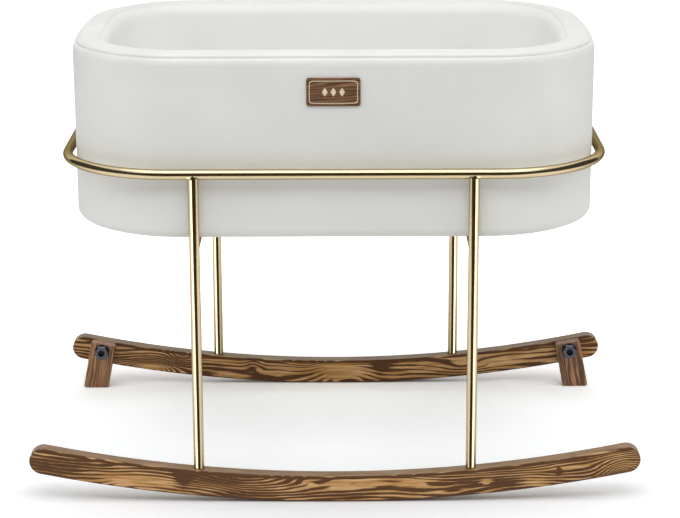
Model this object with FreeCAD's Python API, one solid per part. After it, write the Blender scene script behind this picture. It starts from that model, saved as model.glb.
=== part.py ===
import FreeCAD, Part
import math
import os

# Rocking cradle, in millimetres. X runs along the cradle, Y from front to rear, Z up.
# The origin is on the floor, under the middle of the cradle.

# Basket: outer size of the padded box and where it stands
basket_length = 824.0
basket_depth = 554.0
basket_height = 287.0
basket_corner_radius = 174.0
basket_floor_height = 421.0

# Basket layers, from the outside of the wall to the inside
cover_thickness = 1.2
outer_foam_thickness = 14.0
panel_thickness = 6.0
inner_foam_thickness = 34.0
board_thickness = 9.0
shoulder_radius = 18.0
rim_inner_radius = 18.0
rim_roll_height = 25.0
shoulder_seam_angle = 45.0

# Screws that hold the wall panel to the floor board
screw_diameter = 3.5
screw_head_diameter = 7.0
screw_head_height = 2.5
screw_length = 30.0
screw_tip_length = 4.0
screw_clearance = 0.05
screw_run_shares = (-0.8, 0.0, 0.8)

# Plaque on the front wall
plaque_width = 82.0
plaque_height = 43.0
plaque_thickness = 3.0
plaque_corner_radius = 4.0
plaque_drop = 57.0

# Mattress that lies loose in the basket
mattress_thickness = 50.0
mattress_crown = 8.0
mattress_gap = 4.0
mattress_rest_gap = 0.3
mattress_edge_rounding = 10.0
mattress_side_draw_share = 0.01
mattress_crown_inset = 100.0
mattress_edge_height_shares = (0.0, 0.16, 0.5, 0.84, 1.0)
mattress_edge_inset_shares = (1.0, 0.2, 0.0, 0.2, 1.0)
mattress_crown_height_shares = (0.65, 1.0)
mattress_crown_inset_shares = (0.45, 1.0)

# Tube frame: hoop, legs and the bars under the basket
tube_diameter = 16.0
tube_wall = 1.5
leg_spacing = 428.0
hoop_height = 527.0
hoop_corner_radius = 172.0
hoop_gap_side = 8.0
hoop_gap_end = 3.0
basket_rest_gap = 0.3
drain_hole_diameter = 4.0
braze_gap = 0.05

# Rockers
rocker_length = 960.0
rocker_height = 42.0
rocker_thickness = 26.0
rocker_radius = 2280.0
rocker_edge_radius = 2.5

# Sockets and bolts that fix the legs in the rockers
leg_socket_depth = 20.0
leg_socket_clearance = 0.5
plug_length = 25.0
plug_fit = 0.05
leg_bolt_diameter = 8.0
leg_bolt_head_diameter = 13.0
leg_bolt_head_height = 8.0
leg_bolt_key_width = 6.0
leg_bolt_key_depth = 4.0
leg_bolt_grip = 18.0
leg_bolt_recess = 12.0
leg_washer_diameter = 16.0
leg_washer_thickness = 1.6
bolt_hole_clearance = 0.5
thread_clearance = 0.05

# Stop blocks that swing down from the rear rocker to the floor
pivot_inset = 56.0
pivot_drop = 13.0
block_width = 44.0
block_thickness = 22.0
block_corner_radius = 4.0
block_edge_radius = 1.5
pivot_diameter = 12.0
pivot_wood_depth = 18.0
pivot_play = 0.1
pivot_running_clearance = 0.05
pivot_spacer_diameter = 24.0
pivot_spacer_thickness = 1.6
pivot_washer_diameter = 26.0
pivot_washer_thickness = 2.5
nut_width = 22.0
nut_height = 12.0
nut_recess = 4.5
nut_chamfer = 1.5

# Cuts run past the faces they break by this much
overrun = 5.0

# Sizes worked out from the ones above
X_AXIS = FreeCAD.Vector(1, 0, 0)
Y_AXIS = FreeCAD.Vector(0, 1, 0)
Z_AXIS = FreeCAD.Vector(0, 0, 1)
SIDES = (("left", -1), ("right", 1))
ENDS = (("front", -1), ("rear", 1))
CORNERS = ((1, 1), (-1, 1), (-1, -1), (1, -1))

half_length = basket_length / 2
half_depth = basket_depth / 2
basket_top = basket_floor_height + basket_height
panel_outer = cover_thickness + outer_foam_thickness
panel_inner = panel_outer + panel_thickness
lining_back = panel_inner + inner_foam_thickness
wall_thickness = lining_back + cover_thickness
board_bottom = basket_floor_height + cover_thickness
board_top = board_bottom + board_thickness
panel_top = basket_top - rim_roll_height

tube_radius = tube_diameter / 2
tube_bore_radius = tube_radius - tube_wall
leg_x = leg_spacing / 2
leg_y = half_depth + hoop_gap_side + tube_radius
hoop_half_length = half_length + hoop_gap_end + tube_radius
crossbar_height = basket_floor_height - basket_rest_gap - tube_radius


def rocker_top_at(x):
    """Height of a rocker's upper arc at a distance x from the middle."""
    return rocker_radius - math.sqrt((rocker_radius - rocker_height) ** 2 - x ** 2)


def rocker_underside_at(x):
    """Height of a rocker's lower arc at a distance x from the middle."""
    return rocker_radius - math.sqrt(rocker_radius ** 2 - x ** 2)


leg_bottom = rocker_top_at(leg_x) - leg_socket_depth
leg_recess_top = rocker_underside_at(leg_x) + leg_bolt_recess
rear_inner_face = leg_y - rocker_thickness / 2
spacer_face = rear_inner_face - pivot_spacer_thickness
block_rear_face = spacer_face - pivot_play
block_front_face = block_rear_face - block_thickness
washer_rear_face = block_front_face - pivot_play
nut_rear_face = washer_rear_face - pivot_washer_thickness
pivot_reach = rocker_length / 2 - pivot_inset
pivot_arc_radius = rocker_radius - rocker_height + pivot_drop
pivot_angle = math.asin(pivot_reach / pivot_arc_radius)
pivot_height = rocker_radius - pivot_arc_radius * math.cos(pivot_angle)


# Small helpers

def rod(radius, start, direction, length):
    """A solid round bar from a start point along a direction."""
    return Part.makeCylinder(radius, length, start, direction)


def tube(outer_radius, inner_radius, start, direction, length):
    """A round bar with a bore right through it."""
    return rod(outer_radius, start, direction, length).cut(rod(inner_radius, start, direction, length))


def hexagon(width, start, direction, length):
    """A hexagonal bar, measured across its flats, from a start point along a direction."""
    corner_radius = width / math.sqrt(3)
    corners = [FreeCAD.Vector(corner_radius * math.cos(turn * math.pi / 3),
                              corner_radius * math.sin(turn * math.pi / 3), 0) for turn in range(7)]
    bar = Part.Face(Part.makePolygon(corners)).extrude(Z_AXIS * length)
    bar.Placement = FreeCAD.Placement(start, FreeCAD.Rotation(Z_AXIS, direction))
    return bar


def line(start, end):
    return Part.LineSegment(start, end).toShape()


def arc(start, middle, end):
    return Part.Arc(start, middle, end).toShape()


def rounded_outline(reach_x, reach_y, corner_radius, height, draw_share=0.0):
    """A rounded rectangle at a height, whose sides may draw in by a share of their own length."""
    run_x = reach_x - corner_radius
    run_y = reach_y - corner_radius
    slant = corner_radius / math.sqrt(2)
    starts, edges, ends = [], [], []
    for turn, (side_x, side_y) in enumerate(CORNERS):
        centre = FreeCAD.Vector(side_x * run_x, side_y * run_y, height)
        along_x = centre + X_AXIS * (side_x * corner_radius)
        along_y = centre + Y_AXIS * (side_y * corner_radius)
        middle = centre + FreeCAD.Vector(side_x * slant, side_y * slant, 0)
        start, end = (along_x, along_y) if turn % 2 == 0 else (along_y, along_x)
        starts.append(start)
        ends.append(end)
        edges.append(arc(start, middle, end))
    loop = []
    for turn in range(4):
        start = ends[turn]
        end = starts[(turn + 1) % 4]
        middle = (start + end) / 2
        inward = FreeCAD.Vector(-middle.x, -middle.y, 0).normalize() * (draw_share * (end - start).Length)
        side = arc(start, middle + inward, end) if draw_share else line(start, end)
        loop += [edges[turn], side]
    return Part.Wire(loop)


def plate(reach_x, reach_y, corner_radius, bottom, top):
    """A flat board with a rounded rectangular outline."""
    outline = rounded_outline(reach_x, reach_y, corner_radius, bottom)
    return Part.Face(outline).extrude(Z_AXIS * (top - bottom))


def ring(section, reach_x, reach_y, corner_radius):
    """Carry a section round a rounded rectangle: four turned corners and four straight runs.

    The section is drawn on the XZ plane, with X as the distance from a corner's centre.
    """
    run_x = reach_x - corner_radius
    run_y = reach_y - corner_radius
    centres = [FreeCAD.Vector(side_x * run_x, side_y * run_y, 0) for side_x, side_y in CORNERS]
    pieces = []
    for turn, centre in enumerate(centres):
        face = section.copy()
        face.rotate(FreeCAD.Vector(), Z_AXIS, 90 * turn)
        face.translate(centre)
        pieces.append(face.revolve(centre, Z_AXIS, 90))
        face.rotate(centre, Z_AXIS, 90)
        pieces.append(face.extrude(centres[(turn + 1) % 4] - centre))
    return pieces[0].multiFuse(pieces[1:]).removeSplitter()


def wall_point(depth, height):
    """A point of the wall's section: how deep behind the outer face, and how high."""
    return FreeCAD.Vector(basket_corner_radius - depth, 0, height)


def bend(centre_depth, centre_height, radius, start_angle, end_angle):
    """An arc of the wall's section; 0 degrees points out of the wall and 90 degrees up."""
    points = []
    for angle in (start_angle, (start_angle + end_angle) / 2, end_angle):
        turn = math.radians(angle)
        points.append(wall_point(centre_depth - radius * math.cos(turn),
                                 centre_height + radius * math.sin(turn)))
    return arc(*points)


def wall_ring(stretches):
    """A ring of the wall from its section's stretches, with straight lines drawn between them."""
    edges = []
    for turn, stretch in enumerate(stretches):
        following = stretches[(turn + 1) % len(stretches)]
        edges.append(stretch)
        edges.append(line(stretch.lastVertex(True).Point, following.firstVertex(True).Point))
    return ring(Part.Face(Part.Wire(edges)), half_length, half_depth, basket_corner_radius)


def wall_band(outer, inner, bottom, top):
    """A plain upright band of the wall between two depths."""
    return wall_ring([line(wall_point(outer, bottom), wall_point(outer, top)),
                      line(wall_point(inner, top), wall_point(inner, bottom))])


# Basket

def make_outer_cover():
    """Leatherette skin from under the bottom edge, up the wall, to the seam on the shoulder."""
    low = basket_floor_height + panel_outer
    high = basket_top - shoulder_radius
    foam_low_radius = panel_outer - cover_thickness
    foam_shoulder_radius = shoulder_radius - cover_thickness
    return wall_ring([
        bend(panel_outer, low, panel_outer, -90, 0),
        bend(shoulder_radius, high, shoulder_radius, 0, shoulder_seam_angle),
        bend(shoulder_radius, high, foam_shoulder_radius, shoulder_seam_angle, 0),
        bend(panel_outer, low, foam_low_radius, 0, -90)])


def make_rim_covers():
    """Top band from the shoulder seam over the rim, in a front and a rear half."""
    outer_high = basket_top - shoulder_radius
    inner_high = basket_top - rim_inner_radius
    inner_centre = wall_thickness - rim_inner_radius
    band = wall_ring([
        bend(shoulder_radius, outer_high, shoulder_radius, shoulder_seam_angle, 90),
        bend(inner_centre, inner_high, rim_inner_radius, 90, 180),
        bend(inner_centre, inner_high, rim_inner_radius - cover_thickness, 180, 90),
        bend(shoulder_radius, outer_high, shoulder_radius - cover_thickness, 90, shoulder_seam_angle)])
    covers = {}
    for name, side in ENDS:
        corner = FreeCAD.Vector(-half_length, -half_depth if side < 0 else 0, board_top)
        half_space = Part.makeBox(basket_length, half_depth, basket_height, corner)
        covers["rim_cover_" + name] = band.common(half_space)
    return covers


def make_outer_foam():
    """Padding between the outer cover and the wall panel."""
    return wall_ring([
        bend(panel_outer, basket_floor_height + panel_outer, outer_foam_thickness, -90, 0),
        line(wall_point(cover_thickness, panel_top), wall_point(panel_outer, panel_top))])


def make_inner_foam():
    """Padding inside the wall panel, rolled over the panel's top edge to make the rim."""
    inner_centre = wall_thickness - rim_inner_radius
    return wall_ring([
        line(wall_point(panel_inner, panel_top), wall_point(cover_thickness, panel_top)),
        bend(shoulder_radius, basket_top - shoulder_radius, shoulder_radius - cover_thickness, 0, 90),
        bend(inner_centre, basket_top - rim_inner_radius, rim_inner_radius - cover_thickness, 90, 180),
        line(wall_point(lining_back, board_top), wall_point(panel_inner, board_top))])


def make_lining():
    """Lining of the inside: a skin on the wall, sewn to a floor."""
    walls = wall_band(lining_back, wall_thickness, board_top, basket_top - rim_inner_radius)
    bottom = plate(half_length - lining_back, half_depth - lining_back,
                   basket_corner_radius - lining_back, board_top, board_top + cover_thickness)
    return walls.fuse(bottom).removeSplitter()


def floor_screw(x, y, direction, extra_radius):
    """A countersunk screw whose head is flush with the outer face of the wall panel."""
    start = FreeCAD.Vector(x, y, (board_bottom + board_top) / 2)
    shank_radius = screw_diameter / 2 + extra_radius
    head_radius = screw_head_diameter / 2 + extra_radius
    head = Part.makeCone(head_radius, shank_radius, screw_head_height, start, direction)
    body_length = screw_length - screw_head_height - screw_tip_length
    shank = rod(shank_radius, start + direction * screw_head_height, direction, body_length)
    tip_start = start + direction * (screw_length - screw_tip_length)
    tip = Part.makeCone(shank_radius, 0, screw_tip_length, tip_start, direction)
    return head.multiFuse([shank, tip]).removeSplitter()


def make_floor_screws(extra_radius):
    """Screws along the straight runs of the wall panel, pointing inwards."""
    run_x = half_length - basket_corner_radius
    run_y = half_depth - basket_corner_radius
    screws = []
    for side in (-1, 1):
        for share in screw_run_shares:
            screws.append(floor_screw(share * run_x, side * (half_depth - panel_outer),
                                      Y_AXIS * -side, extra_radius))
        for share in (screw_run_shares[0], screw_run_shares[-1]):
            screws.append(floor_screw(side * (half_length - panel_outer), share * run_y,
                                      X_AXIS * -side, extra_radius))
    return screws


def make_plaque():
    """Small plate on the front wall."""
    centre_height = basket_top - plaque_drop
    outline = rounded_outline(plaque_width / 2, plaque_height / 2, plaque_corner_radius, 0)
    plaque = Part.Face(outline).extrude(Z_AXIS * plaque_thickness)
    plaque.rotate(FreeCAD.Vector(), X_AXIS, 90)
    plaque.translate(FreeCAD.Vector(0, -half_depth, centre_height))
    return plaque


def make_mattress():
    """Padded mattress with rounded edges, a crowned top and sides that draw in a little."""
    reach_x = half_length - wall_thickness - mattress_gap
    reach_y = half_depth - wall_thickness - mattress_gap
    corner = basket_corner_radius - wall_thickness - mattress_gap
    bottom = board_top + cover_thickness + mattress_rest_gap
    levels = []
    for height_share, inset_share in zip(mattress_edge_height_shares, mattress_edge_inset_shares):
        levels.append((bottom + height_share * mattress_thickness, inset_share * mattress_edge_rounding))
    for height_share, inset_share in zip(mattress_crown_height_shares, mattress_crown_inset_shares):
        levels.append((bottom + mattress_thickness + height_share * mattress_crown,
                       inset_share * mattress_crown_inset))
    outlines = [rounded_outline(reach_x - inset, reach_y - inset, corner - inset, height,
                                mattress_side_draw_share) for height, inset in levels]
    return Part.makeLoft(outlines, True, True)


def make_basket():
    """All the pieces of the basket, by name."""
    inset_x = half_length - panel_inner
    inset_y = half_depth - panel_inner
    holes = make_floor_screws(screw_clearance)
    board = plate(inset_x, inset_y, basket_corner_radius - panel_inner, board_bottom, board_top)
    pieces = {
        "outer_cover": make_outer_cover(),
        "outer_foam": make_outer_foam(),
        "wall_panel": wall_band(panel_outer, panel_inner, board_bottom, panel_top).cut(holes),
        "inner_foam": make_inner_foam(),
        "lining": make_lining(),
        "floor_board": board.cut(holes),
        "floor_screws": Part.makeCompound(make_floor_screws(0)),
        "underside_cover": plate(half_length - panel_outer, half_depth - panel_outer,
                                 basket_corner_radius - panel_outer, basket_floor_height, board_bottom),
        "name_plaque": make_plaque()}
    pieces.update(make_rim_covers())
    return pieces


# Tube frame

def make_hoop():
    """Closed loop of bent tube, with a drain hole into the top of each leg."""
    centre = FreeCAD.Vector(hoop_corner_radius, 0, hoop_height)
    outer = Part.Wire(Part.makeCircle(tube_radius, centre, Y_AXIS))
    bore = Part.Wire(Part.makeCircle(tube_bore_radius, centre, Y_AXIS))
    section = Part.Face(outer).cut(Part.Face(bore))
    hoop = ring(section.Faces[0], hoop_half_length, leg_y, hoop_corner_radius)
    for x in (-leg_x, leg_x):
        for y in (-leg_y, leg_y):
            bottom = FreeCAD.Vector(x, y, hoop_height - tube_radius - overrun)
            hoop = hoop.cut(rod(drain_hole_diameter / 2, bottom, Z_AXIS, tube_radius + overrun))
    return hoop


def make_leg(x, y):
    """Upright tube from its socket in the rocker to the underside of the hoop, cut to the hoop."""
    leg = tube(tube_radius, tube_bore_radius, FreeCAD.Vector(x, y, leg_bottom), Z_AXIS,
               hoop_height - leg_bottom)
    start = FreeCAD.Vector(x - tube_diameter, y, hoop_height)
    return leg.cut(rod(tube_radius + braze_gap, start, X_AXIS, 2 * tube_diameter))


def make_crossbar(x):
    """Tube from a front leg to a rear leg, cut to both, on which the basket stands."""
    bar = tube(tube_radius, tube_bore_radius, FreeCAD.Vector(x, -leg_y, crossbar_height), Y_AXIS, 2 * leg_y)
    for y in (-leg_y, leg_y):
        start = FreeCAD.Vector(x, y, crossbar_height - tube_diameter)
        bar = bar.cut(rod(tube_radius + braze_gap, start, Z_AXIS, 2 * tube_diameter))
    return bar


def make_leg_plug(x, y):
    """Threaded plug pressed into the lower end of a leg."""
    return tube(tube_bore_radius - plug_fit, leg_bolt_diameter / 2 + thread_clearance,
                FreeCAD.Vector(x, y, leg_bottom), Z_AXIS, plug_length)


def make_leg_bolt(x, y):
    """Socket-head bolt that comes up through the rocker into the plug."""
    washer_bottom = leg_recess_top - leg_washer_thickness
    head_start = FreeCAD.Vector(x, y, washer_bottom - leg_bolt_head_height)
    head = rod(leg_bolt_head_diameter / 2, head_start, Z_AXIS, leg_bolt_head_height)
    shank_length = leg_bottom + leg_bolt_grip - washer_bottom
    shank = rod(leg_bolt_diameter / 2, FreeCAD.Vector(x, y, washer_bottom), Z_AXIS, shank_length)
    key = hexagon(leg_bolt_key_width, head_start, Z_AXIS, leg_bolt_key_depth)
    return head.fuse(shank).cut(key)


def make_leg_washer(x, y):
    start = FreeCAD.Vector(x, y, leg_recess_top - leg_washer_thickness)
    return tube(leg_washer_diameter / 2, leg_bolt_diameter / 2 + bolt_hole_clearance, start, Z_AXIS,
                leg_washer_thickness)


# Rockers and stop blocks

def rocker_point(angle, radius):
    """A point on an arc about the rocker's centre of curvature, at an angle from straight down."""
    return FreeCAD.Vector(radius * math.sin(angle), 0, rocker_radius - radius * math.cos(angle))


def make_rocker(y):
    """Curved runner with round ends, leg sockets in its top and bolt recesses in its underside."""
    end_radius = rocker_height / 2
    middle_radius = rocker_radius - end_radius
    top_radius = rocker_radius - rocker_height
    end_angle = math.asin((rocker_length / 2 - end_radius) / middle_radius)
    tips = []
    for side in (-1, 1):
        along = FreeCAD.Vector(side * math.cos(end_angle), 0, math.sin(end_angle))
        tips.append(rocker_point(side * end_angle, middle_radius) + along * end_radius)
    low_left, low_right = (rocker_point(side * end_angle, rocker_radius) for side in (-1, 1))
    top_left, top_right = (rocker_point(side * end_angle, top_radius) for side in (-1, 1))
    outline = Part.Wire([arc(low_left, rocker_point(0, rocker_radius), low_right),
                         arc(low_right, tips[1], top_right),
                         arc(top_right, rocker_point(0, top_radius), top_left),
                         arc(top_left, tips[0], low_left)])
    runner = Part.Face(outline).extrude(Y_AXIS * rocker_thickness)
    runner.translate(Y_AXIS * (y - rocker_thickness / 2))
    face_edges = [edge for edge in runner.Edges
                  if edge.BoundBox.YLength < rocker_thickness / 2]
    runner = runner.makeFillet(rocker_edge_radius, face_edges)
    for x in (-leg_x, leg_x):
        runner = runner.cut(leg_cavity(x, y))
    return runner


def leg_cavity(x, y):
    """Socket for a leg, hole for its bolt and recess for the bolt's head, one below the other."""
    socket = rod(tube_radius + leg_socket_clearance, FreeCAD.Vector(x, y, leg_bottom), Z_AXIS,
                 leg_socket_depth + overrun)
    hole = rod(leg_bolt_diameter / 2 + bolt_hole_clearance, FreeCAD.Vector(x, y, leg_recess_top), Z_AXIS,
               leg_bottom - leg_recess_top)
    recess_radius = leg_washer_diameter / 2 + bolt_hole_clearance
    recess_start = FreeCAD.Vector(x, y, leg_recess_top - leg_bolt_recess - overrun)
    recess = rod(recess_radius, recess_start, Z_AXIS, leg_bolt_recess + overrun)
    return socket.multiFuse([hole, recess])


def make_rear_rocker():
    """The rear runner, which also holds the studs of the stop blocks."""
    runner = make_rocker(leg_y)
    for _, side in SIDES:
        start = FreeCAD.Vector(side * pivot_reach, rear_inner_face - overrun, pivot_height)
        runner = runner.cut(rod(pivot_diameter / 2 + thread_clearance, start, Y_AXIS,
                                overrun + pivot_wood_depth))
    return runner


def make_stop_block(side):
    """Block square to the rocker at its pivot, level with the rocker's top, cut flat on the floor."""
    pivot = FreeCAD.Vector(side * pivot_reach, 0, pivot_height)
    down = FreeCAD.Vector(side * math.sin(pivot_angle), 0, -math.cos(pivot_angle))
    outward = FreeCAD.Vector(side * math.cos(pivot_angle), 0, math.sin(pivot_angle))
    corners = []
    for edge_side in (-1, 1):
        edge = pivot + outward * (edge_side * block_width / 2)
        top = edge - down * pivot_drop
        foot = edge + down * (edge.z / math.cos(pivot_angle))
        corners.append((top, foot))
    (inner_top, inner_foot), (outer_top, outer_foot) = corners
    outline = Part.makePolygon([inner_top, inner_foot, outer_foot, outer_top, inner_top])
    block = Part.Face(outline).extrude(Y_AXIS * block_thickness)
    block.translate(Y_AXIS * block_front_face)
    corner_edges = [edge for edge in block.Edges if edge.BoundBox.YLength > block_thickness / 2]
    block = block.makeFillet(block_corner_radius, corner_edges)
    face_edges = [edge for edge in block.Edges if edge.BoundBox.YLength < block_thickness / 2]
    block = block.makeChamfer(block_edge_radius, face_edges)
    hole_start = FreeCAD.Vector(pivot.x, block_front_face - overrun, pivot.z)
    return block.cut(rod(pivot_diameter / 2 + pivot_running_clearance, hole_start, Y_AXIS,
                         block_thickness + 2 * overrun))


def make_pivot_stud(side):
    """Stud screwed into the rocker, which carries the block and ends inside the nut."""
    front = nut_rear_face - nut_height + nut_recess
    length = rear_inner_face + pivot_wood_depth - front
    return rod(pivot_diameter / 2, FreeCAD.Vector(side * pivot_reach, front, pivot_height), Y_AXIS, length)


def make_pivot_ring(side, diameter, rear_face, thickness):
    """A flat washer on a stud, behind or in front of the block."""
    start = FreeCAD.Vector(side * pivot_reach, rear_face - thickness, pivot_height)
    return tube(diameter / 2, pivot_diameter / 2 + pivot_running_clearance, start, Y_AXIS, thickness)


def make_pivot_nut(side):
    """Hexagon nut with a turned-off front edge."""
    front = FreeCAD.Vector(side * pivot_reach, nut_rear_face - nut_height, pivot_height)
    bar = hexagon(nut_width, front, Y_AXIS, nut_height)
    corner_radius = nut_width / math.sqrt(3)
    flare = nut_height * (corner_radius - nut_width / 2) / nut_chamfer
    cone = Part.makeCone(nut_width / 2, nut_width / 2 + flare, nut_height, front, Y_AXIS)
    return bar.common(cone).cut(rod(pivot_diameter / 2 + thread_clearance, front, Y_AXIS, nut_height))


def make_frame():
    """Hoop, legs, bars, rockers, stop blocks and all their fasteners, by name."""
    pieces = {
        "support_hoop": make_hoop(),
        "front_rocker": make_rocker(-leg_y),
        "rear_rocker": make_rear_rocker()}
    feet = []
    for side_name, side in SIDES:
        pieces[side_name + "_crossbar"] = make_crossbar(side * leg_x)
        pieces[side_name + "_stop_block"] = make_stop_block(side)
        for end_name, end in ENDS:
            pieces[end_name + "_" + side_name + "_leg"] = make_leg(side * leg_x, end * leg_y)
            feet.append((side * leg_x, end * leg_y))
    signs = [side for _, side in SIDES]
    spacer_size = (pivot_spacer_diameter, rear_inner_face, pivot_spacer_thickness)
    washer_size = (pivot_washer_diameter, washer_rear_face, pivot_washer_thickness)
    groups = {
        "leg_plugs": [make_leg_plug(x, y) for x, y in feet],
        "leg_bolts": [make_leg_bolt(x, y) for x, y in feet],
        "leg_washers": [make_leg_washer(x, y) for x, y in feet],
        "pivot_studs": [make_pivot_stud(side) for side in signs],
        "pivot_nuts": [make_pivot_nut(side) for side in signs],
        "pivot_spacers": [make_pivot_ring(side, *spacer_size) for side in signs],
        "pivot_washers": [make_pivot_ring(side, *washer_size) for side in signs]}
    for name, solids in groups.items():
        pieces[name] = Part.makeCompound(solids)
    return pieces


def main():
    os.makedirs("parts", exist_ok=True)
    pieces = make_frame()
    pieces.update(make_basket())
    pieces["mattress"] = make_mattress()
    for name, shape in pieces.items():
        shape.exportStep("parts/" + name + ".step")
        print(name, "solids", len(shape.Solids), "valid", shape.isValid(), "volume", round(shape.Volume))


main()
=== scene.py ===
"""The rocking cradle dressed: padded basket, mattress, plaque inlay, finishes, floor, lamps and camera.

Lengths are in metres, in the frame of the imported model: X to the right, Y to the rear, Z up.
"""
import math

import bpy
import numpy as np
from mathutils import Matrix, Vector
from mathutils.bvhtree import BVHTree


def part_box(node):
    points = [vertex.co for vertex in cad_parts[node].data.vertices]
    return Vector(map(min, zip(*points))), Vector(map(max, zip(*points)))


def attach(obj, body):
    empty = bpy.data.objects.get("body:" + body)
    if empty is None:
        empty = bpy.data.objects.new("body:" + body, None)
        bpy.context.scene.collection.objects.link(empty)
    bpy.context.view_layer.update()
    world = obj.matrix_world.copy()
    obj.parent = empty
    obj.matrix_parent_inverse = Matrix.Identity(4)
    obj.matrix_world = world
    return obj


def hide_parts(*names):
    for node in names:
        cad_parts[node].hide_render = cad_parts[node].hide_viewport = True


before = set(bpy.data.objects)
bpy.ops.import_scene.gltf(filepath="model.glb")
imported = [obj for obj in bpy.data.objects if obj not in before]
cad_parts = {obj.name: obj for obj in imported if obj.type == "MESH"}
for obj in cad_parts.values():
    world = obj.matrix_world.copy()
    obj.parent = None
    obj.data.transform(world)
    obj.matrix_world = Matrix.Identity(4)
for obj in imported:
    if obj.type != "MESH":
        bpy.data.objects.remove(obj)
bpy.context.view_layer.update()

MM = 0.001
scene = bpy.context.scene


def middle_of(node):
    """The middle of a node's box."""
    low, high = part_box(node)
    return (low + high) / 2


# Basket sizes: the outer ones are read from the model, the rest repeat the part's source
cover_low, cover_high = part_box("outer_cover")
half_length = cover_high.x
half_depth = cover_high.y
basket_bottom = cover_low.z
basket_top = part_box("rim_cover_front")[1].z
board_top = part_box("floor_board")[1].z
panel_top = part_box("wall_panel")[1].z
corner_radius = 174 * MM
panel_outer = 15.2 * MM
panel_inner = 21.2 * MM
wall_thickness = 56.4 * MM
lining_thickness = 1.2 * MM
shoulder_radius = 18 * MM
shoulder_seam_angle = 45
rim_inner_radius = 18 * MM
rim_inner_depth = wall_thickness - rim_inner_radius
lining_seam_angle = 112

# Fit of the padding: its gap to the hidden layers, the curl at its foot and the floor cloth's tuck under it
skin_gap = 0.1 * MM
wall_foot = 6 * MM
wall_foot_angle = 230
floor_tuck = 10 * MM

# Sewing: how deep the seams pull in, how wide they are, and how much the padding rises and ripples
seam_depth = 1.9 * MM
seam_width = 1.9 * MM
seam_tuck = 4.0 * MM
lining_seam_share = 0.12
cross_seam_share = 1.3
rim_crown = 2.2 * MM
rear_rim_roll = 1.8 * MM
wall_ripple = 0.35 * MM
seam_pucker = 0.22 * MM
pucker_reach = 16 * MM

# How many times the waves of the walls and the gathers of the seams fit round the basket
wall_waves = (5, 8, 13, 21)
lining_waves = (4, 7, 11, 17)
seam_gathers = (61, 83, 109)
lining_gathers = (53, 71, 97)

# Padding stands out in the middle of the ends and is pulled in round the corners, so the plan looks rounder
end_bulge = 4.0 * MM
corner_pull = 2.5 * MM

# The hoop holds the ends in, so that the padding stays clear of the tube
hoop_height = middle_of("support_hoop").z
hoop_hold = 0.45
hoop_reach = 40 * MM

# Sampling, and the random draws for the waves
around_count = 420
bend_samples = 40
sheet_rows = 12
pole_share = 0.02
draws = np.random.default_rng(11)


# Shapes

def basket_path(count, start_share=0.0, end_share=1.0, closed=True):
    """Walk round the basket's plan, a rounded rectangle, anticlockwise from the middle of the right end.

    A point lies (corner radius - depth) from its corner's centre, in its outward direction. Along a
    straight run the centre moves and the direction holds; round a corner the direction turns and the
    centre holds. A closed path leaves out the last point, because it is the first one again.
    """
    run_x = half_length - corner_radius
    run_y = half_depth - corner_radius
    turn = corner_radius * math.pi / 2
    walked = np.cumsum([0, run_y, turn, 2 * run_x, turn, 2 * run_y, turn, 2 * run_x, turn, run_y])
    at = np.linspace(start_share, end_share, count, endpoint=not closed) * walked[-1]
    centre_x = np.interp(at, walked, run_x * np.array([1, 1, 1, -1, -1, -1, -1, 1, 1, 1]))
    centre_y = np.interp(at, walked, run_y * np.array([0, 1, 1, 1, 1, -1, -1, -1, -1, 0]))
    heading = np.interp(at, walked, math.pi / 2 * np.array([0, 0, 1, 1, 2, 2, 3, 3, 4, 4]))
    return {"x": centre_x, "y": centre_y, "out_x": np.cos(heading), "out_y": np.sin(heading),
            "share": at / walked[-1], "walked": at}


def plan_points(path, depth, height):
    """Points round the basket: centre + (corner radius - depth) * outward direction, at their heights."""
    reach = corner_radius - depth
    return np.stack([path["x"][:, None] + reach * path["out_x"][:, None],
                     path["y"][:, None] + reach * path["out_y"][:, None],
                     np.broadcast_to(height, reach.shape)], axis=2)


def wall_section(bends, rows, fine_start=0, fine_end=0, fine_reach=14 * MM):
    """Sample a face of the wall's section from its bends, with straight lines between them.

    A bend is (centre's depth, centre's height, radius, first angle, last angle); 0 degrees points out
    of the wall and 90 degrees up. Samples are even, plus extra ones within fine_reach of either end.
    """
    depth, height, tilt = [], [], []
    for centre_depth, centre_height, radius, first, last in bends:
        angle = np.radians(np.linspace(first, last, bend_samples))
        depth.append(centre_depth - radius * np.cos(angle))
        height.append(centre_height + radius * np.sin(angle))
        tilt.append(angle)
    depth, height, tilt = (np.concatenate(part) for part in (depth, height, tilt))
    walked = np.concatenate([[0], np.cumsum(np.hypot(np.diff(depth), np.diff(height)))])
    total = walked[-1]
    at = np.unique(np.concatenate([np.linspace(0, total, rows), np.linspace(0, fine_reach, fine_start),
                                   np.linspace(total - fine_reach, total, fine_end)]).round(7))
    return {"depth": np.interp(at, walked, depth), "height": np.interp(at, walked, height),
            "tilt": np.interp(at, walked, tilt), "walked": at, "total": total}


def seam_dip(distance):
    """How far a padded face sinks at a distance from a seam: a bell curve."""
    return -seam_depth * np.exp(-(distance / seam_width) ** 2)


def ripple(share, counts, height):
    """Gentle waves round the basket: sines that fit a whole number of times, with drawn phases."""
    phases = draws.uniform(0, 2 * math.pi, len(counts))
    waves = [np.sin(2 * math.pi * count * share + phase) for count, phase in zip(counts, phases)]
    return height * np.mean(waves, axis=0)


def wall_wave(path, face, counts, height):
    """Waves that are strongest halfway up the wall: they follow the square of half a sine wave."""
    middle = np.sin(math.pi * face["walked"] / face["total"]) ** 2
    return ripple(path["share"], counts, height)[:, None] * middle[None, :]


def seam_gather(path, to_seam, counts):
    """Small gathers along a seam, which fade exponentially with the distance from it."""
    return ripple(path["share"], counts, seam_pucker)[:, None] * np.exp(-to_seam / pucker_reach)[None, :]


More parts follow.
